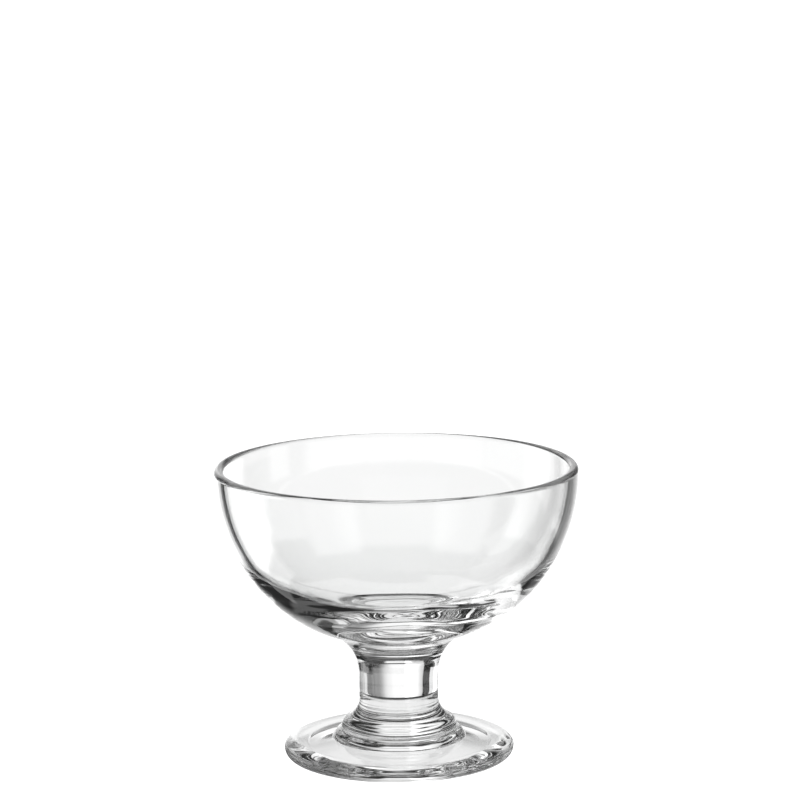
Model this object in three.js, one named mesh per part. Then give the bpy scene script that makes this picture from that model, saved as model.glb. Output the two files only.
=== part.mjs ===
// Footed glass bowl: a round bowl, a short solid stem and a round foot, fused face to face.
// Millimetres, +Z up. The origin is on the table, under the middle of the foot.
import * as THREE from 'three';

// Foot: a disc with a soft-shouldered edge, a raised seat for the stem and a shallow hollow underneath.
const FOOT_RADIUS = 31.8;
const FOOT_HEEL_HEIGHT = 2.3; // from the table up to where the edge is widest
const FOOT_HEEL_WIDTH = 2; // how far in the rounding under the edge runs
const FOOT_SHOULDER_HEIGHT = 2.3; // from the widest place up to the top
const FOOT_SHOULDER_WIDTH = 5; // how far in the rounding over the edge runs
const FOOT_RING_WIDTH = 4.8; // flat ring that stands on the table
const FOOT_TOP_RISE = 0.55; // from the shoulder to the root of the seat
const FOOT_HOLLOW_DEPTH = 2.5;
const SEAT_HEIGHT = 2; // above the root
const SEAT_LEDGE = 2.05; // how far the seat's rounded side stands out from the stem

// Stem: a plain neck that spreads to a round-edged base.
const STEM_BASE_RADIUS = 16.05;
const STEM_BASE_SIDE = 0.95; // upright side below the base's rounding
const STEM_BASE_ROUNDING = 2.55;
const FLARE_RADIUS = 6.3; // hollow curve from the neck to the base
const NECK_RADIUS = 11;
const NECK_LENGTH = 6.5; // straight stretch
const NECK_FILLET = 13.6; // hollow curve from the neck to the bowl
const JOINT_RISE = 5.7; // from the end of the straight neck up to the fused joint

// Bowl: outside of two arcs and inside of three, each running smoothly into the next, and a round lip.
const BOWL_RADIUS = 50; // outside, at the widest
const BOWL_LOWER_RADIUS = 44.3; // of the arc nearer the neck
const BOWL_ARC_CHANGE = THREE.MathUtils.degToRad(57.5); // from the axis
const WALL_THICKNESS = 2.66; // at the lip
const FLOOR_THICKNESS = 7.4; // inside floor to the lowest point of the lower arc, carried on
const INSIDE_FLOOR_RADIUS = 80; // of the shallow floor
const INSIDE_CORNER_RADIUS = 29; // from the wall into the floor

// Steps of the faceted curves.
const TURN_STEPS = 48;
const FINE_CURVE_STEPS = 6;
const LONG_CURVE_STEPS = 12;
const INSIDE_STEPS = 8;

const QUARTER_TURN = Math.PI / 2;
const HALF_TURN = Math.PI;

// Heights and centres that follow from the sizes above, from the table upwards.
const seatRoot = FOOT_HEEL_HEIGHT + FOOT_SHOULDER_HEIGHT + FOOT_TOP_RISE;
const seatTop = seatRoot + SEAT_HEIGHT;

const baseEdge = new THREE.Vector2(STEM_BASE_RADIUS - STEM_BASE_ROUNDING, seatTop + STEM_BASE_SIDE);
const flare = centreOfTouchingArc(baseEdge, STEM_BASE_ROUNDING, FLARE_RADIUS, NECK_RADIUS + FLARE_RADIUS);
const neckTop = flare.y + NECK_LENGTH;
const neckFillet = new THREE.Vector2(NECK_RADIUS + NECK_FILLET, neckTop);
const jointHeight = neckTop + JOINT_RISE;
const jointAngle = HALF_TURN - Math.asin(JOINT_RISE / NECK_FILLET);

const arcShift = BOWL_RADIUS - BOWL_LOWER_RADIUS;
const lowerCentreRadius = arcShift * Math.sin(BOWL_ARC_CHANGE);
const lowerArc = centreOfTouchingArc(neckFillet, NECK_FILLET, BOWL_LOWER_RADIUS, lowerCentreRadius);
const bowlCentre = new THREE.Vector2(0, lowerArc.y + arcShift * Math.cos(BOWL_ARC_CHANGE));

const insideRadius = BOWL_RADIUS - WALL_THICKNESS;
const floorHeight = lowerArc.y - BOWL_LOWER_RADIUS + FLOOR_THICKNESS;
const floorArc = new THREE.Vector2(0, floorHeight + INSIDE_FLOOR_RADIUS);
const insideCorner = centreOfInsideCorner();

// Centre of an arc, at a set distance from the axis, that touches a lower arc from outside.
function centreOfTouchingArc(lower, lowerRadius, radius, centreRadius) {
  const reach = lowerRadius + radius;
  const across = centreRadius - lower.x;
  return new THREE.Vector2(centreRadius, lower.y + Math.sqrt(reach * reach - across * across));
}

// Centre of the inside corner arc, which touches the wall's arc and the floor's arc from within.
function centreOfInsideCorner() {
  const toWall = insideRadius - INSIDE_CORNER_RADIUS;
  const toFloor = INSIDE_FLOOR_RADIUS - INSIDE_CORNER_RADIUS;
  const rise = floorArc.y - bowlCentre.y;
  const upright = (toWall * toWall - toFloor * toFloor + rise * rise) / (2 * rise);
  return new THREE.Vector2(Math.sqrt(toWall * toWall - upright * upright), bowlCentre.y + upright);
}

// Direction, as an angle from the outward radius, in which one point sees another.
function angleTo(from, to) {
  return Math.atan2(to.y - from.y, to.x - from.x);
}

// Points of an oval arc between two angles from the outward radius.
function ovalArc(centre, acrossRadius, uprightRadius, start, end, steps) {
  const clockwise = start > end;
  const curve = new THREE.EllipseCurve(
    centre.x, centre.y, acrossRadius, uprightRadius, start, end, clockwise);
  return curve.getPoints(steps);
}

// Points of a round arc.
function arc(centre, radius, start, end, steps) {
  return ovalArc(centre, radius, radius, start, end, steps);
}

// Solid of revolution about +Z, from an outline that starts and ends on the axis.
function turned(outline) {
  const geometry = new THREE.LatheGeometry(outline, TURN_STEPS);
  return geometry.rotateX(QUARTER_TURN);
}

function clearGlass() {
  return new THREE.MeshStandardMaterial({ color: 0xf1f4f3, roughness: 0.03, metalness: 0 });
}

function piece(name, outline) {
  const mesh = new THREE.Mesh(turned(outline), clearGlass());
  mesh.name = name;
  return mesh;
}

// Points of the foot's hollow, from its middle out to the ring.
function hollowArc() {
  const across = FOOT_RADIUS - FOOT_HEEL_WIDTH - FOOT_RING_WIDTH;
  const curve = (across * across + FOOT_HOLLOW_DEPTH * FOOT_HOLLOW_DEPTH) / (2 * FOOT_HOLLOW_DEPTH);
  const centre = new THREE.Vector2(0, FOOT_HOLLOW_DEPTH - curve);
  const ringSide = new THREE.Vector2(across, 0);
  return [
    new THREE.Vector2(0, FOOT_HOLLOW_DEPTH),
    ...arc(centre, curve, QUARTER_TURN, angleTo(centre, ringSide), INSIDE_STEPS).slice(1, -1),
    ringSide,
  ];
}

function footOutline() {
  const heel = new THREE.Vector2(FOOT_RADIUS - FOOT_HEEL_WIDTH, FOOT_HEEL_HEIGHT);
  const under = ovalArc(heel, FOOT_HEEL_WIDTH, FOOT_HEEL_HEIGHT, -QUARTER_TURN, 0, FINE_CURVE_STEPS);
  const shoulder = new THREE.Vector2(FOOT_RADIUS - FOOT_SHOULDER_WIDTH, FOOT_HEEL_HEIGHT);
  const over = ovalArc(
    shoulder, FOOT_SHOULDER_WIDTH, FOOT_SHOULDER_HEIGHT, 0, QUARTER_TURN, FINE_CURVE_STEPS);
  const seat = new THREE.Vector2(STEM_BASE_RADIUS, seatRoot);
  return [
    ...hollowArc(),
    ...under,
    ...over.slice(1),
    ...ovalArc(seat, SEAT_LEDGE, SEAT_HEIGHT, 0, QUARTER_TURN, FINE_CURVE_STEPS),
    new THREE.Vector2(0, seatTop),
  ];
}

function stemOutline() {
  const outwards = angleTo(baseEdge, flare);
  const inwards = angleTo(flare, baseEdge);
  const neckSide = -HALF_TURN;
  return [
    new THREE.Vector2(0, seatTop),
    new THREE.Vector2(STEM_BASE_RADIUS, seatTop),
    ...arc(baseEdge, STEM_BASE_ROUNDING, 0, outwards, FINE_CURVE_STEPS),
    ...arc(flare, FLARE_RADIUS, inwards, neckSide, LONG_CURVE_STEPS).slice(1),
    ...arc(neckFillet, NECK_FILLET, HALF_TURN, jointAngle, FINE_CURVE_STEPS),
    new THREE.Vector2(0, jointHeight),
  ];
}

function bowlOutline() {
  const lipRadius = WALL_THICKNESS / 2;
  const lip = new THREE.Vector2(BOWL_RADIUS - lipRadius, bowlCentre.y);
  const upwards = angleTo(neckFillet, lowerArc);
  const downwards = angleTo(lowerArc, neckFillet);
  const change = BOWL_ARC_CHANGE - QUARTER_TURN;
  const wallEnd = angleTo(bowlCentre, insideCorner);
  const floorEdge = angleTo(floorArc, insideCorner);
  return [
    new THREE.Vector2(0, jointHeight),
    ...arc(neckFillet, NECK_FILLET, jointAngle, upwards, FINE_CURVE_STEPS),
    ...arc(lowerArc, BOWL_LOWER_RADIUS, downwards, change, FINE_CURVE_STEPS).slice(1),
    ...arc(bowlCentre, BOWL_RADIUS, change, 0, LONG_CURVE_STEPS).slice(1),
    ...arc(lip, lipRadius, 0, HALF_TURN, FINE_CURVE_STEPS).slice(1),
    ...arc(bowlCentre, insideRadius, 0, wallEnd, INSIDE_STEPS).slice(1),
    ...arc(insideCorner, INSIDE_CORNER_RADIUS, wallEnd, floorEdge, INSIDE_STEPS).slice(1),
    ...arc(floorArc, INSIDE_FLOOR_RADIUS, floorEdge, -QUARTER_TURN, INSIDE_STEPS).slice(1, -1),
    new THREE.Vector2(0, floorHeight),
  ];
}

const footedBowl = new THREE.Group();
footedBowl.name = 'footed_bowl';
footedBowl.add(piece('foot', footOutline()));
footedBowl.add(piece('stem', stemOutline()));
footedBowl.add(piece('bowl', bowlOutline()));

export default footedBowl;
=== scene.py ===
"""Footed glass bowl: three clear glass pieces, turned from one outline, in a bright studio."""
import math
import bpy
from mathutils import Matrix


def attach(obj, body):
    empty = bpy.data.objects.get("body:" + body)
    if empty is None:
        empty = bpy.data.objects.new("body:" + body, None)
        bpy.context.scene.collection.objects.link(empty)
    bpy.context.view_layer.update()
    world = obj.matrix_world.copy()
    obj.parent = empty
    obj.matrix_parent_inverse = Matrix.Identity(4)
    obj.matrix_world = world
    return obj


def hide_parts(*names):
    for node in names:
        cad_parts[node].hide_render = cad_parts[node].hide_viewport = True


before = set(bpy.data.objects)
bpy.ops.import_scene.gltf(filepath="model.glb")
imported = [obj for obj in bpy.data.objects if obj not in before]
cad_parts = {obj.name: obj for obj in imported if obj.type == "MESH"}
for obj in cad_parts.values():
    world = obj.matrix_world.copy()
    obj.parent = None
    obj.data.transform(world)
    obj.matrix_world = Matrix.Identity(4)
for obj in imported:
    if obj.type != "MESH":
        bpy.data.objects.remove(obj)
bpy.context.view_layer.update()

from types import SimpleNamespace

import bpy
from bpy.props import CollectionProperty, FloatProperty, FloatVectorProperty, IntProperty, PointerProperty
from mathutils import Matrix, Vector

bl_info = {
    "name": "Footed Glass Bowl",
    "version": (1, 0, 0),
    "blender": (4, 5, 0),
    "location": "View3D > Sidebar > Footed Bowl",
    "description": "Makes a clear glass bowl on a short stem and a round foot, with a bright studio round it",
    "category": "Add Mesh",
}

MM = 0.001
QUARTER_TURN = math.pi / 2
NEARLY_ZERO = 1e-9
SAME_PLACE = 1e-7

# Steps of the outline's curves.
SMALL_STEPS = 20
EDGE_STEPS = 24
SHALLOW_STEPS = 30
FLARE_STEPS = 36
WALL_STEPS = 40
LONG_STEPS = 48
EASE_STEPS = 8
SHARP_CORNER = math.radians(10)

# Waves that the press leaves: even share, one-sided share and its direction, and each wander's size, count
# and start.
WAVE_EVEN = 0.6
WAVE_ONE_SIDED = 0.4
WAVE_SIDE = 0.4
WAVE_WANDERS = ((1.6, 2, 0.6), (0.9, 5, 0.0))
SLOPE_STEP = 0.1 * MM

# Surface of the glass: noise scales are per metre, and a fade runs from its start to its end.
REFRACTION = 1.52
CLOUD_SCALE = 60.0
CLOUD_DETAIL = 3.0
CLOUD_FADE = (0.35, 0.75)
SMEAR_SCALE = 240.0
SMEAR_DETAIL = 4.0
SMEAR_ROUGHNESS = 0.6
SMEAR_FADE = (0.55, 0.9)
FINE_RIPPLE_SHARE = 0.35
FINE_RIPPLE_RATIO = 2.7

# Stage.
WHITE = (1, 1, 1, 1)
FLOOR_STEPS = 96
FLOOR_GAP = 0.3 * MM
CLIP_START = 0.01
GLASS_BOUNCES = 72
CLEAR_BOUNCES = 48

# Name, direction from the back, half width, side fade, lowest, highest, end fade (degrees), brightness.
STUDIO_PANELS = (
    ("back", -3, 7, 18, -90, 14, 3, 1.0),
    ("back_upper", 0, 10, 6, 21, 40, 3, 1.0),
    ("back_left", -17.5, 9.5, 2.5, -22, 27, 3, 0.7),
    ("back_right", 20, 5, 9, -82, 2, 9, 0.25),
    ("left_softbox", -67, 12, 4, -33, 44, 4, 1.1),
    ("left_card", -59.5, 17.5, 1.5, -46, 3, 1.5, 0.85),
    ("right_low", 41, 21, 7, -85, -42, 7, 0.7),
    ("right_strip", 40, 10, 1.5, -22, -10, 1.5, 0.15),
    ("right_thin", 46, 3, 1.5, -22, -9, 1.5, 0.5),
    ("right_fill", 46, 7, 4, -44, -22, 3, 0.4),
    ("right_card", 47, 9, 6, -5, 16, 5, 0.1),
    ("front_top", -174, 30, 2, 16, 46, 2, 0.16),
    ("top", 23, 49, 2, 63, 90, 2, 0.12),
    ("right_wide", 68, 16, 3, -30, -9, 2, 0.4),
    ("right_side", 93, 7, 3, -30, 3, 3, 0.85),
    ("left_side", -98, 14, 6, -30, 3, 3, 0.85),
    ("front", 180, 20, 30, -35, 3, 5, 0.95),
    ("front_right", 135, 14, 10, -40, 3, 4, 0.95),
    ("front_left", -135, 14, 10, -40, 3, 4, 0.95),
)


def length(name, description, millimetres):
    """A size in metres that is given in millimetres."""
    return FloatProperty(
        name=name, description=description, default=millimetres * MM, min=0.0, precision=5, unit="LENGTH")


def angle(name, description, degrees):
    return FloatProperty(name=name, description=description, default=math.radians(degrees), subtype="ANGLE")


def share(name, description, default, most=1.0):
    return FloatProperty(name=name, description=description, default=default, min=0.0, max=most, precision=4)


class FootSizes(bpy.types.PropertyGroup):
    radius: length("Radius", "Outside radius of the foot", 31.8)
    edge_thickness: length("Edge thickness", "Height of the rounded edge", 4.6)
    widest_height: length("Widest height", "Height at which the edge is widest", 2.3)
    shoulder: length("Shoulder", "How far in the rounding runs over the edge", 5.0)
    heel: length("Heel", "How far in the rounding runs under the edge", 2.0)
    top_rise: length("Top rise", "Rise of the top from the edge to the root of the seat", 0.55)
    hollow_depth: length("Hollow depth", "Depth of the shallow hollow underneath", 2.5)
    hollow_radius: length("Hollow radius", "Radius of the hollow's opening", 25.0)
    seat_height: length("Seat height", "Height of the raised seat above its root", 2.0)
    seat_ledge: length("Seat ledge", "How far the seat's rounded side stands out from the stem", 2.05)


class StemSizes(bpy.types.PropertyGroup):
    base_radius: length("Base radius", "Radius of the base that sits on the foot", 16.05)
    base_side: length("Base side", "Upright side below the base's rounding", 0.95)
    base_rounding: length("Base rounding", "Radius of the base's rounded edge", 2.55)
    flare_radius: length("Flare radius", "Hollow curve from the neck to the base", 6.3)
    neck_radius: length("Neck radius", "Radius of the plain neck", 11.0)
    neck_length: length("Neck length", "Straight stretch of the neck", 6.5)
    neck_fillet: length("Neck fillet", "Hollow curve from the neck to the bowl", 13.6)
    joint_rise: length("Joint rise", "From the end of the straight neck up to the fused joint", 5.7)


class BowlSizes(bpy.types.PropertyGroup):
    radius: length("Radius", "Outside radius at the widest", 50.0)
    lower_radius: length("Lower radius", "Radius of the outside arc nearer the neck", 44.3)
    arc_change: angle("Arc change", "Angle from the axis at which the outside arcs meet", 57.5)
    wall: length("Wall", "Wall thickness at the lip", 2.66)
    floor: length("Floor", "Inside floor to the lowest point of the lower arc, carried on", 7.4)
    inside_floor_radius: length("Inside floor radius", "Radius of the shallow floor", 80.0)
    inside_corner_radius: length("Inside corner radius", "Curve from the wall into the floor", 29.0)
    wave_height: length("Wave height", "Height of the slow waves low on the inside", 0.1)
    wave_length: length("Wave length", "From one wave to the next", 10.0)
    wave_start: length("Wave start", "Radius at which the waves start", 16.0)
    wave_end: length("Wave end", "Radius at which the waves end", 43.0)


class GlassLook(bpy.types.PropertyGroup):
    colour: FloatVectorProperty(
        name="Colour", description="Colour of the clear glass", subtype="COLOR", size=3, min=0.0, max=1.0,
        default=(0.998, 1.0, 0.999))
    cloud_colour: FloatVectorProperty(
        name="Cloud colour", description="Colour in the faint clouds", subtype="COLOR", size=3, min=0.0,
        max=1.0, default=(0.985, 0.992, 0.989))
    haze: share("Haze", "Roughness of the fire polish where it is least clear", 0.012)
    ripple_height: length("Ripple height", "Height of the slow ripples in the pressed surface", 0.02)
    ripple_size: length("Ripple size", "Length of a ripple", 14.0)


class StudioPanel(bpy.types.PropertyGroup):
    direction: angle("Direction", "Middle of the panel, from straight behind the bowl, to the right", 0)
    half_width: angle("Half width", "Half the width of the panel", 10)
    side_fade: angle("Side fade", "Width of the fading edges on the left and right", 5)
    lowest: angle("Lowest", "Lower edge, from level", -60)
    highest: angle("Highest", "Upper edge, from level", 45)
    end_fade: angle("End fade", "Width of the fading edges above and below", 5)
    brightness: share("Brightness", "Light from the panel", 1.0, 20.0)


class StudioSizes(bpy.types.PropertyGroup):
    panels: CollectionProperty(type=StudioPanel)
    backdrop: share("Backdrop", "Brightness of the white that the camera sees", 1.3, 4.0)
    room: share("Room", "Light of the room between the panels", 0.02)
    floor_radius: length("Floor radius", "Radius of the pale floor", 46.0)
    # The floor's glow is painted light under the foot; shade_light and its fade are painted shade in a ring
    # round the foot.
    floor_light: share("Floor light", "Light of the floor under the foot", 0.88)
    shade_light: share("Shade light", "Light of the floor in the shade round the foot", 0.02)
    shade_start: length("Shade start", "Radius at which the floor's light starts to fade", 29.5)
    shade_end: length("Shade end", "Radius at which the floor's light is faded", 32.0)


class CameraPlace(bpy.types.PropertyGroup):
    aside: length("Aside", "To the right of the bowl's axis", 1.3)
    distance: length("Distance", "In front of the bowl's axis", 884.97)
    height: length("Height", "Above the table", 253.02)
    tilt: angle("Tilt", "Below level", 9.846)
    roll: angle("Roll", "Turn about the line of sight", -0.65)
    lens: FloatProperty(name="Lens", description="Focal length", default=147.9, min=1.0, unit="CAMERA")
    sensor: FloatProperty(name="Sensor", description="Sensor width", default=36.0, min=1.0, unit="CAMERA")


class FootedBowl(bpy.types.PropertyGroup):
    foot: PointerProperty(type=FootSizes)
    stem: PointerProperty(type=StemSizes)
    bowl: PointerProperty(type=BowlSizes)
    glass: PointerProperty(type=GlassLook)
    studio: PointerProperty(type=StudioSizes)
    camera: PointerProperty(type=CameraPlace)
    turn_steps: IntProperty(name="Turn steps", description="Steps round the axis", default=192, min=24)
    corner_ease: length("Corner ease", "How far the fire polish rounds a corner, each way", 0.5)


def point(radius, height):
    return Vector((radius, height))


def touching_arc(lower, lower_radius, radius, centre_radius):
    """Centre of an arc, at a set distance from the axis, that touches a lower arc from outside."""
    reach = lower_radius + radius
    across = centre_radius - lower.x
    return point(centre_radius, lower.y + math.sqrt(reach * reach - across * across))


def angle_to(start, end):
    return math.atan2(end.y - start.y, end.x - start.x)


def arc(centre, across, upright, start, end, steps):
    """Points of an oval or round arc between two angles from the outward radius."""
    turns = [start + (end - start) * i / steps for i in range(steps + 1)]
    return [point(centre.x + across * math.cos(t), centre.y + upright * math.sin(t)) for t in turns]


def round_arc(centre, radius, start, end, steps):
    return arc(centre, radius, radius, start, end, steps)


def heights(sizes):
    """Heights and arc centres that the three pieces share, from the table upwards."""
    foot, stem, bowl = sizes.foot, sizes.stem, sizes.bowl
    made = SimpleNamespace()
    made.seat_root = foot.edge_thickness + foot.top_rise
    made.seat_top = made.seat_root + foot.seat_height
    made.base_edge = point(stem.base_radius - stem.base_rounding, made.seat_top + stem.base_side)
    made.flare = touching_arc(
        made.base_edge, stem.base_rounding, stem.flare_radius, stem.neck_radius + stem.flare_radius)
    made.neck_top = made.flare.y + stem.neck_length
    made.fillet = point(stem.neck_radius + stem.neck_fillet, made.neck_top)
    made.joint = made.neck_top + stem.joint_rise
    shift = bowl.radius - bowl.lower_radius
    made.lower_arc = touching_arc(
        made.fillet, stem.neck_fillet, bowl.lower_radius, shift * math.sin(bowl.arc_change))
    made.bowl_centre = point(0, made.lower_arc.y + shift * math.cos(bowl.arc_change))
    made.inside_radius = bowl.radius - bowl.wall
    made.floor = made.lower_arc.y - bowl.lower_radius + bowl.floor
    made.floor_arc = point(0, made.floor + bowl.inside_floor_radius)
    made.inside_corner = inside_corner(bowl, made)
    return made


def inside_corner(bowl, made):
    """Centre of the inside corner arc, which touches the wall's arc and the floor's arc from within."""
    to_wall = made.inside_radius - bowl.inside_corner_radius
    to_floor = bowl.inside_floor_radius - bowl.inside_corner_radius
    rise = made.floor_arc.y - made.bowl_centre.y
    upright = (to_wall * to_wall - to_floor * to_floor + rise * rise) / (2 * rise)
    return point(math.sqrt(to_wall * to_wall - upright * upright), made.bowl_centre.y + upright)


def foot_side(sizes, made):
    """Foot from the middle of its hollow round the edge to the top of the seat."""
    foot = sizes.foot
    curve = (foot.hollow_radius ** 2 + foot.hollow_depth ** 2) / (2 * foot.hollow_depth)
    hollow = point(0, foot.hollow_depth - curve)
    ring = angle_to(hollow, point(foot.hollow_radius, 0))
    heel = point(foot.radius - foot.heel, foot.widest_height)
    shoulder = point(foot.radius - foot.shoulder, foot.widest_height)
    over = foot.edge_thickness - foot.widest_height
    seat = point(sizes.stem.base_radius, made.seat_root)
    return [
        *round_arc(hollow, curve, QUARTER_TURN, ring, SHALLOW_STEPS),
        *arc(heel, foot.heel, foot.widest_height, -QUARTER_TURN, 0, SMALL_STEPS),
        *arc(shoulder, foot.shoulder, over, 0, QUARTER_TURN, EDGE_STEPS)[1:],
        *arc(seat, foot.seat_ledge, foot.seat_height, 0, QUARTER_TURN, EDGE_STEPS),
    ]


def stem_side(sizes, made):
    """Stem from the top of the seat up the flare and the neck, and on into the bowl's lower arc."""
    stem = sizes.stem
    outwards = angle_to(made.base_edge, made.flare)
    inwards = angle_to(made.flare, made.base_edge)
    upwards = angle_to(made.fillet, made.lower_arc)
    return [
        *round_arc(made.base_edge, stem.base_rounding, 0, outwards, SMALL_STEPS),
        *round_arc(made.flare, stem.flare_radius, inwards, -math.pi, FLARE_STEPS)[1:],
        *round_arc(made.fillet, stem.neck_fillet, math.pi, upwards, LONG_STEPS),
    ]


def bowl_side(sizes, made):
    """Bowl from the lower arc up over the lip and down the inside to the middle of the floor."""
    bowl = sizes.bowl
    half = bowl.wall / 2
    lip = point(bowl.radius - half, made.bowl_centre.y)
    downwards = angle_to(made.lower_arc, made.fillet)
    change = bowl.arc_change - QUARTER_TURN
    wall_end = angle_to(made.bowl_centre, made.inside_corner)
    floor_edge = angle_to(made.floor_arc, made.inside_corner)
    return [
        *round_arc(made.lower_arc, bowl.lower_radius, downwards, change, WALL_STEPS)[1:],
        *round_arc(made.bowl_centre, bowl.radius, change, 0, LONG_STEPS)[1:],
        *round_arc(lip, half, 0, math.pi, EDGE_STEPS)[1:],
        *round_arc(made.bowl_centre, made.inside_radius, 0, wall_end, WALL_STEPS)[1:],
        *round_arc(made.inside_corner, bowl.inside_corner_radius, wall_end, floor_edge, WALL_STEPS)[1:],
        *round_arc(made.floor_arc, bowl.inside_floor_radius, floor_edge, -QUARTER_TURN, SHALLOW_STEPS)[1:],
    ]


def walk(points, start, way, reach):
    """Point that lies a set distance along the outline from a corner, and the index of the point after it."""
    left, i = reach, start
    while True:
        step = (points[i + way] - points[i]).length
        if step >= left:
            return points[i].lerp(points[i + way], left / step), i + way
        left -= step
        i += way


def eased(points, reach):
    """The outline with its sharp corners rounded, as the fire polish leaves them."""
    corners = []
    for i in range(1, len(points) - 1):
        before, after = points[i] - points[i - 1], points[i + 1] - points[i]
        if min(before.length, after.length) > NEARLY_ZERO and before.angle(after) > SHARP_CORNER:
            corners.append(i)
    made, done = [], 0
    for i in corners:
        start, last = walk(points, i, -1, reach)
        end, following = walk(points, i, 1, reach)
        made += points[done:last + 1]
        for k in range(EASE_STEPS + 1):
            t = k / EASE_STEPS
            made.append(start * (1 - t) ** 2 + points[i] * (2 * t * (1 - t)) + end * t ** 2)
        done = following
    return made + points[done:]


def whole_outline(sizes, made):
    points = foot_side(sizes, made) + stem_side(sizes, made) + bowl_side(sizes, made)
    apart = [points[0]]
    for p in points[1:]:
        if (p - apart[-1]).length > SAME_PLACE:
            apart.append(p)
    apart[0].x = apart[-1].x = 0.0
    return eased(apart, sizes.corner_ease)


def with_normals(points):
    """Each point with the direction that faces out of the glass there."""
    made = []
    for i, p in enumerate(points):
        along = points[min(i + 1, len(points) - 1)] - points[max(i - 1, 0)]
        out = point(along.y, -along.x).normalized()
        made.append((p, point(0, math.copysign(1, out.y)) if p.x < NEARLY_ZERO else out))
    return made


def cut(run, height, upper):
    """The part of an outline on one side of a fused joint, closed by the joint's flat face."""
    for i in range(1, len(run)):
        (low, low_out), (high, high_out) = run[i - 1], run[i]
        if low.y < height <= high.y and low.x > NEARLY_ZERO:
            share_up = (height - low.y) / (high.y - low.y)
            rim = (point(low.lerp(high, share_up).x, height), low_out.lerp(high_out, share_up).normalized())
            middle = (point(0, height), point(0, -1 if upper else 1))
            return [middle, rim] + run[i:] if upper else run[:i] + [rim, middle]
    raise RuntimeError("The outline does not reach the joint")


def press_wave(bowl, radius, around):
    """Height of the waves low on the inside; they wander, and are strongest on the right."""
    reach = (radius - bowl.wave_start) / (bowl.wave_end - bowl.wave_start)
    if not 0 < reach < 1:
        return 0.0
    strength = math.sin(math.pi * reach) ** 2 * (WAVE_EVEN + WAVE_ONE_SIDED * math.cos(around + WAVE_SIDE))
    wander = sum(size * math.sin(count * around + start) for size, count, start in WAVE_WANDERS)
    return bowl.wave_height * strength * math.sin(2 * math.pi * radius / bowl.wave_length + wander)


def waved(bowl, p, out, around):
    """Place and facing of a point after the press's waves, which are only on the inside of the bowl."""
    side = Vector((math.cos(around), math.sin(around), 0))
    up = Vector((0, 0, 1))
    place, facing = side * p.x + up * p.y, side * out.x + up * out.y
    if not out.x < 0 < out.y:
        return place, facing
    turn = SLOPE_STEP / p.x
    further = press_wave(bowl, p.x + SLOPE_STEP, around) - press_wave(bowl, p.x - SLOPE_STEP, around)
    onward = press_wave(bowl, p.x, around + turn) - press_wave(bowl, p.x, around - turn)
    rise = further / (2 * SLOPE_STEP) * out.y
    drift = onward / (2 * SLOPE_STEP)
    outwards, onwards = side * out.y - up * out.x, up.cross(side)
    place += facing * press_wave(bowl, p.x, around)
    return place, (facing - outwards * rise - onwards * drift).normalized()


def turned(name, run, joints, sizes):
    """Closed body turned about the upright axis; the flat faces at the joints get the second material."""
    steps = sizes.turn_steps
    verts, normals, rings = [], [], []
    for p, out in run:
        count = 1 if p.x < NEARLY_ZERO else steps
        rings.append(range(len(verts), len(verts) + count))
        for k in range(count):
            place, facing = waved(sizes.bowl, p, out, 2 * math.pi * k / steps)
            verts.append(place)
            normals.append(facing)
    faces, fused = [], []
    for i in range(1, len(rings)):
        low, high = rings[i - 1], rings[i]
        ends = (run[i - 1][0].y, run[i][0].y)
        flat = any(all(abs(height - joint) < NEARLY_ZERO for height in ends) for joint in joints)
        for k in range(steps):
            n = (k + 1) % steps
            if len(low) == 1:
                faces.append((low[0], high[n], high[k]))
            elif len(high) == 1:
                faces.append((low[k], low[n], high[0]))
            else:
                faces.append((low[k], low[n], high[n], high[k]))
            fused.append(int(flat))
    mesh = bpy.data.meshes.new(name)
    mesh.from_pydata(verts, [], faces)
    mesh.polygons.foreach_set("use_smooth", [True] * len(faces))
    mesh.polygons.foreach_set("material_index", fused)
    mesh.normals_split_custom_set_from_vertices(normals)
    body = bpy.data.objects.new(name, mesh)
    bpy.context.scene.collection.objects.link(body)
    return body


class Wire:
    """A value in a node tree; sums, differences and products of wires add Math nodes."""

    def __init__(self, bench, socket):
        self.bench = bench
        self.socket = socket

    def __add__(self, other):
        return self.bench.maths("ADD", self, other)

    def __sub__(self, other):
        return self.bench.maths("SUBTRACT", self, other)

    def __rsub__(self, other):
        return self.bench.maths("SUBTRACT", other, self)

    def __mul__(self, other):
        return self.bench.maths("MULTIPLY", self, other)

    __radd__ = __add__
    __rmul__ = __mul__


class Bench:
    """Builds the nodes of one material or world."""

    def __init__(self, tree):
        self.tree = tree
        tree.nodes.clear()

    def node(self, kind, settings=None, sockets=None):
        """A node of any type: its settings first, then values or wires for its sockets."""
        made = self.tree.nodes.new(kind)
        for name, value in (settings or {}).items():
            setattr(made, name, value)
        for key, value in (sockets or {}).items():
            if isinstance(value, Wire):
                self.tree.links.new(value.socket, made.inputs[key])
            else:
                made.inputs[key].default_value = value
        return made

    def wire(self, kind, settings=None, sockets=None, output=0):
        return Wire(self, self.node(kind, settings, sockets).outputs[output])

    def maths(self, operation, first, second=0.0):
        return self.wire("ShaderNodeMath", {"operation": operation}, {0: first, 1: second})

    def fade(self, value, start, end, low=0.0, high=1.0):
        """Soft step from one level to another as a value grows."""
        settings = {"interpolation_type": "SMOOTHSTEP"}
        return self.wire("ShaderNodeMapRange", settings, {0: value, 1: start, 2: end, 3: low, 4: high})

    def noise(self, place, scale, detail, roughness=0.5):
        sockets = {"Vector": place, "Scale": scale, "Detail": detail, "Roughness": roughness}
        return self.wire("ShaderNodeTexNoise", None, sockets)

    def blend(self, share_of_second, first, second):
        """Mixture of two colours."""
        sockets = {0: share_of_second, 6: first, 7: second}
        return self.wire("ShaderNodeMix", {"data_type": "RGBA"}, sockets, 2)


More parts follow.
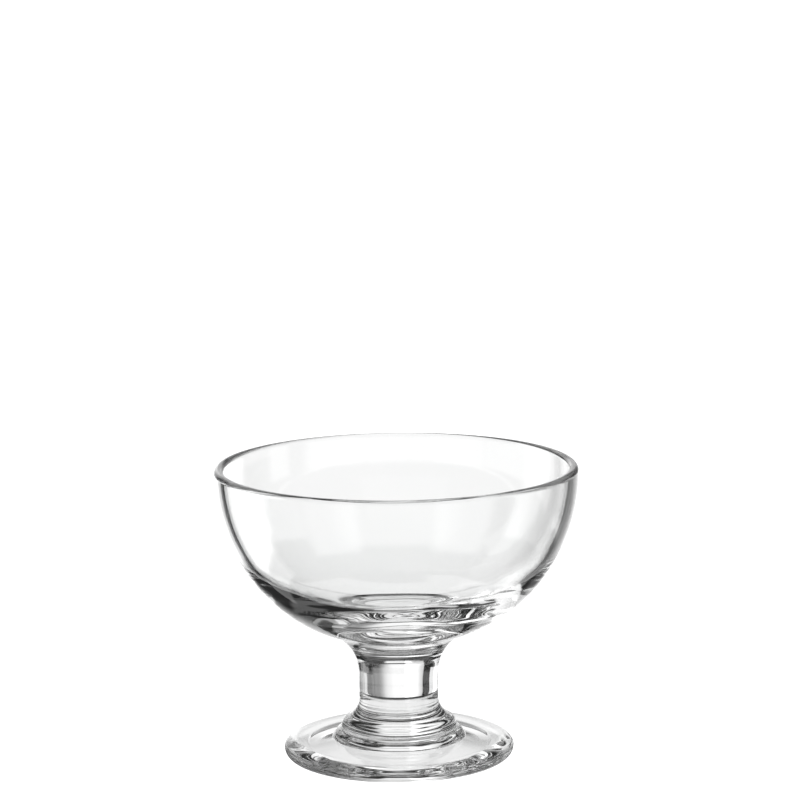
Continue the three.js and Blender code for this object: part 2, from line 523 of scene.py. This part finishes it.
def polished_glass(look):
    """Pressed and fire-polished glass: faint clouds and haze, and slow ripples in the surface."""
    material = bpy.data.materials.new("polished_glass")
    material.use_nodes = True
    bench = Bench(material.node_tree)
    place = bench.wire("ShaderNodeTexCoord", output="Object")
    clouds = bench.fade(bench.noise(place, CLOUD_SCALE, CLOUD_DETAIL), *CLOUD_FADE)
    smears = bench.fade(bench.noise(place, SMEAR_SCALE, SMEAR_DETAIL, SMEAR_ROUGHNESS), *SMEAR_FADE)
    slow = bench.noise(place, 1 / look.ripple_size, 1.0)
    fine = bench.noise(place, FINE_RIPPLE_RATIO / look.ripple_size, 0.0)
    ripples = slow + FINE_RIPPLE_SHARE * fine
    relief = {"Strength": 1.0, "Distance": look.ripple_height, "Height": ripples}
    bump = bench.wire("ShaderNodeBump", None, relief, "Normal")
    shader = bench.wire("ShaderNodeBsdfPrincipled", None, {
        "Base Color": bench.blend(clouds, (*look.colour, 1), (*look.cloud_colour, 1)),
        "Roughness": look.haze * smears,
        "Metallic": 0.0,
        "IOR": REFRACTION,
        "Transmission Weight": 1.0,
        "Normal": bump,
    })
    bench.node("ShaderNodeOutputMaterial", None, {"Surface": shader})
    return material


def fused_joint():
    """The flat face where two pieces of glass are fused: it bends and mirrors no light."""
    material = bpy.data.materials.new("fused_joint")
    material.use_nodes = True
    bench = Bench(material.node_tree)
    shader = bench.wire("ShaderNodeBsdfTransparent", None, {"Color": WHITE})
    bench.node("ShaderNodeOutputMaterial", None, {"Surface": shader})
    return material


def shared_material(name, make, *given):
    return bpy.data.materials.get(name) or make(*given)


def glass_piece(name, run, joints, sizes):
    """Turns one piece, gives it the glass and puts it in the place of its solid."""
    body = turned(name + "_glass", run, joints, sizes)
    body.data.materials.append(shared_material("polished_glass", polished_glass, sizes.glass))
    body.data.materials.append(shared_material("fused_joint", fused_joint))
    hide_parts(name)
    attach(body, "root")
    return body


class FOOTEDBOWL_OT_make_foot(bpy.types.Operator):
    """Makes the round foot with its raised seat and hollow underside"""

    bl_idname = "footed_bowl.make_foot"
    bl_label = "Make Foot"

    def execute(self, context):
        sizes = context.scene.footed_bowl
        made = heights(sizes)
        run = cut(with_normals(whole_outline(sizes, made)), made.seat_top, False)
        glass_piece("foot", run, [made.seat_top], sizes)
        return {"FINISHED"}


class FOOTEDBOWL_OT_make_stem(bpy.types.Operator):
    """Makes the short solid stem, from its base on the foot to the bowl"""

    bl_idname = "footed_bowl.make_stem"
    bl_label = "Make Stem"

    def execute(self, context):
        sizes = context.scene.footed_bowl
        made = heights(sizes)
        run = cut(with_normals(whole_outline(sizes, made)), made.joint, False)
        glass_piece("stem", cut(run, made.seat_top, True), [made.seat_top, made.joint], sizes)
        return {"FINISHED"}


class FOOTEDBOWL_OT_make_bowl(bpy.types.Operator):
    """Makes the round bowl with its lip and thick floor"""

    bl_idname = "footed_bowl.make_bowl"
    bl_label = "Make Bowl"

    def execute(self, context):
        sizes = context.scene.footed_bowl
        made = heights(sizes)
        run = cut(with_normals(whole_outline(sizes, made)), made.joint, True)
        glass_piece("bowl", run, [made.joint], sizes)
        return {"FINISHED"}


def fill_panels(studio):
    """Puts the usual panels round the bowl where none are set."""
    if studio.panels:
        return
    for name, direction, half_width, side_fade, lowest, highest, end_fade, brightness in STUDIO_PANELS:
        panel = studio.panels.add()
        panel.name = name
        panel.direction = math.radians(direction)
        panel.half_width = math.radians(half_width)
        panel.side_fade = math.radians(side_fade)
        panel.lowest = math.radians(lowest)
        panel.highest = math.radians(highest)
        panel.end_fade = math.radians(end_fade)
        panel.brightness = brightness


def studio_light(studio):
    """White panels round the bowl with dark between them; the camera sees plain white."""
    world = bpy.data.worlds.new("studio")
    world.use_nodes = True
    bench = Bench(world.node_tree)
    way = bench.node("ShaderNodeSeparateXYZ", None, {0: bench.wire("ShaderNodeTexCoord", output="Generated")})
    across, ahead, up = (Wire(bench, socket) for socket in way.outputs)
    level = bench.maths("ARCTAN2", across, ahead)
    rise = bench.maths("ARCSINE", up)
    light = studio.room
    for panel in studio.panels:
        turn = bench.wire(
            "ShaderNodeMath", {"operation": "WRAP"}, {0: level - panel.direction, 1: math.pi, 2: -math.pi})
        aside = bench.maths("ABSOLUTE", turn)
        wide = bench.fade(aside, panel.half_width, panel.half_width + panel.side_fade, 1.0, 0.0)
        over = bench.fade(rise, panel.lowest - panel.end_fade, panel.lowest)
        under = bench.fade(rise, panel.highest, panel.highest + panel.end_fade, 1.0, 0.0)
        light = light + panel.brightness * (wide * over * under)
    seen = bench.wire("ShaderNodeLightPath", output="Is Camera Ray")
    shown = seen * studio.backdrop + (1 - seen) * light
    glow = bench.wire("ShaderNodeBackground", None, {"Color": shown, "Strength": 1.0})
    bench.node("ShaderNodeOutputWorld", None, {"Surface": glow})
    return world


def glowing_floor(studio):
    """Small floor that glows, lightest under the foot with painted shade in a ring round it, that the camera
    sees as plain white.
    """
    material = bpy.data.materials.new("glowing_floor")
    material.use_nodes = True
    bench = Bench(material.node_tree)
    place = bench.wire("ShaderNodeTexCoord", output="Object")
    out = bench.wire("ShaderNodeVectorMath", {"operation": "LENGTH"}, {0: place}, "Value")
    # Painted light and shade: the floor glows at floor_light under the foot and fades to a painted shade ring
    # from shade_start to shade_end.
    light = bench.fade(out, studio.shade_start, studio.shade_end, studio.floor_light, studio.shade_light)
    glow = bench.wire("ShaderNodeEmission", None, {"Color": light, "Strength": 1.0})
    clear = bench.wire("ShaderNodeBsdfTransparent", None, {"Color": WHITE})
    seen = bench.wire("ShaderNodeLightPath", output="Is Camera Ray")
    shader = bench.wire("ShaderNodeMixShader", None, {0: seen, 1: glow, 2: clear})
    bench.node("ShaderNodeOutputMaterial", None, {"Surface": shader})
    rim = [2 * math.pi * i / FLOOR_STEPS for i in range(FLOOR_STEPS)]
    mesh = bpy.data.meshes.new("glowing_floor")
    mesh.from_pydata(
        [(studio.floor_radius * math.cos(t), studio.floor_radius * math.sin(t), 0) for t in rim], [],
        [tuple(range(FLOOR_STEPS))])
    mesh.materials.append(material)
    floor = bpy.data.objects.new("glowing_floor", mesh)
    floor.location.z = -FLOOR_GAP
    bpy.context.scene.collection.objects.link(floor)


def studio_camera(place):
    data = bpy.data.cameras.new("studio_camera")
    data.lens = place.lens
    data.sensor_width = place.sensor
    data.clip_start = CLIP_START
    camera = bpy.data.objects.new("studio_camera", data)
    camera.location = (place.aside, -place.distance, place.height)
    tilt = Matrix.Rotation(QUARTER_TURN - place.tilt, 4, "X")
    camera.rotation_euler = (tilt @ Matrix.Rotation(place.roll, 4, "Z")).to_euler()
    bpy.context.scene.collection.objects.link(camera)
    return camera


class FOOTEDBOWL_OT_make_stage(bpy.types.Operator):
    """Makes the glowing floor with its painted shade, the studio light and the camera"""

    bl_idname = "footed_bowl.make_stage"
    bl_label = "Make Stage"

    def execute(self, context):
        scene = context.scene
        sizes = scene.footed_bowl
        fill_panels(sizes.studio)
        scene.world = studio_light(sizes.studio)
        glowing_floor(sizes.studio)
        scene.camera = studio_camera(sizes.camera)
        scene.view_settings.view_transform = "Standard"
        scene.cycles.denoising_input_passes = "RGB"
        scene.cycles.max_bounces = GLASS_BOUNCES
        scene.cycles.transmission_bounces = GLASS_BOUNCES
        scene.cycles.glossy_bounces = GLASS_BOUNCES
        scene.cycles.transparent_max_bounces = CLEAR_BOUNCES
        return {"FINISHED"}


class FOOTEDBOWL_PT_panel(bpy.types.Panel):
    """Lists the pieces and the stage"""

    bl_label = "Footed Bowl"
    bl_space_type = "VIEW_3D"
    bl_region_type = "UI"
    bl_category = "Footed Bowl"

    def draw(self, context):
        layout = self.layout
        sizes = context.scene.footed_bowl
        layout.prop(sizes, "turn_steps")
        layout.prop(sizes, "corner_ease")
        boxes = (
            (FOOTEDBOWL_OT_make_foot, (sizes.foot,)),
            (FOOTEDBOWL_OT_make_stem, (sizes.stem,)),
            (FOOTEDBOWL_OT_make_bowl, (sizes.bowl, sizes.glass)),
            (FOOTEDBOWL_OT_make_stage, (sizes.studio, sizes.camera, *sizes.studio.panels)),
        )
        for operator, groups in boxes:
            box = layout.box()
            box.operator(operator.bl_idname)
            for group in groups:
                for name in group.__annotations__:
                    if name != "panels":
                        box.prop(group, name)


CLASSES = (
    FootSizes,
    StemSizes,
    BowlSizes,
    GlassLook,
    StudioPanel,
    StudioSizes,
    CameraPlace,
    FootedBowl,
    FOOTEDBOWL_OT_make_foot,
    FOOTEDBOWL_OT_make_stem,
    FOOTEDBOWL_OT_make_bowl,
    FOOTEDBOWL_OT_make_stage,
    FOOTEDBOWL_PT_panel,
)


def register():
    for kind in CLASSES:
        bpy.utils.register_class(kind)
    bpy.types.Scene.footed_bowl = PointerProperty(type=FootedBowl)


def unregister():
    del bpy.types.Scene.footed_bowl
    for kind in reversed(CLASSES):
        bpy.utils.unregister_class(kind)


def main():
    register()
    bpy.ops.footed_bowl.make_foot()
    bpy.ops.footed_bowl.make_stem()
    bpy.ops.footed_bowl.make_bowl()
    bpy.ops.footed_bowl.make_stage()


if __name__ == "__main__":
    main()
